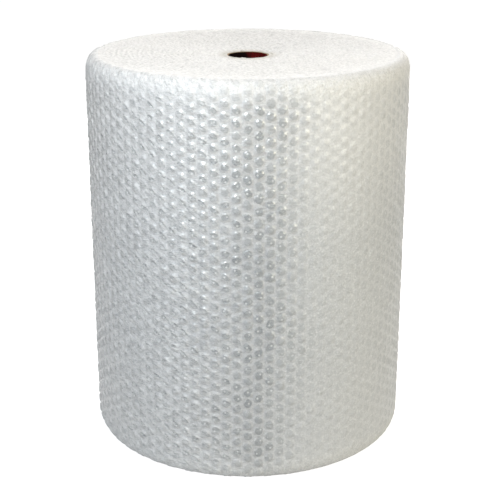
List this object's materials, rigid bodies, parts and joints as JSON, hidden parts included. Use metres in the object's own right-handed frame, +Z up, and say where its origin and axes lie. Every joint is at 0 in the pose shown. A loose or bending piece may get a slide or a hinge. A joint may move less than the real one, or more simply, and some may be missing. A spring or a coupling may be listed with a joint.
{
  "type": "bubble wrap roll",
  "caption": "Large roll of clear bubble cushioning film wound on an open paper core, standing on its end, with rounded rims and ridged ends.",
  "frame": {"origin": "on the floor, at the middle of the roll's lower end", "axes": "+Z up along the paper core, +Y towards the back of the roll as pictured, +X to its right"},
  "size_m": [0.504, 0.504, 0.61],
  "materials": {
    "bubble_film": "clear polyethylene that looks milky white where it is wound many turns deep",
    "core_paper": "dark red wound paperboard"
  },
  "bodies": {
    "root": {"film_roll": "bubble_film", "core_tube": "core_paper"}
  },
  "joints": []
}
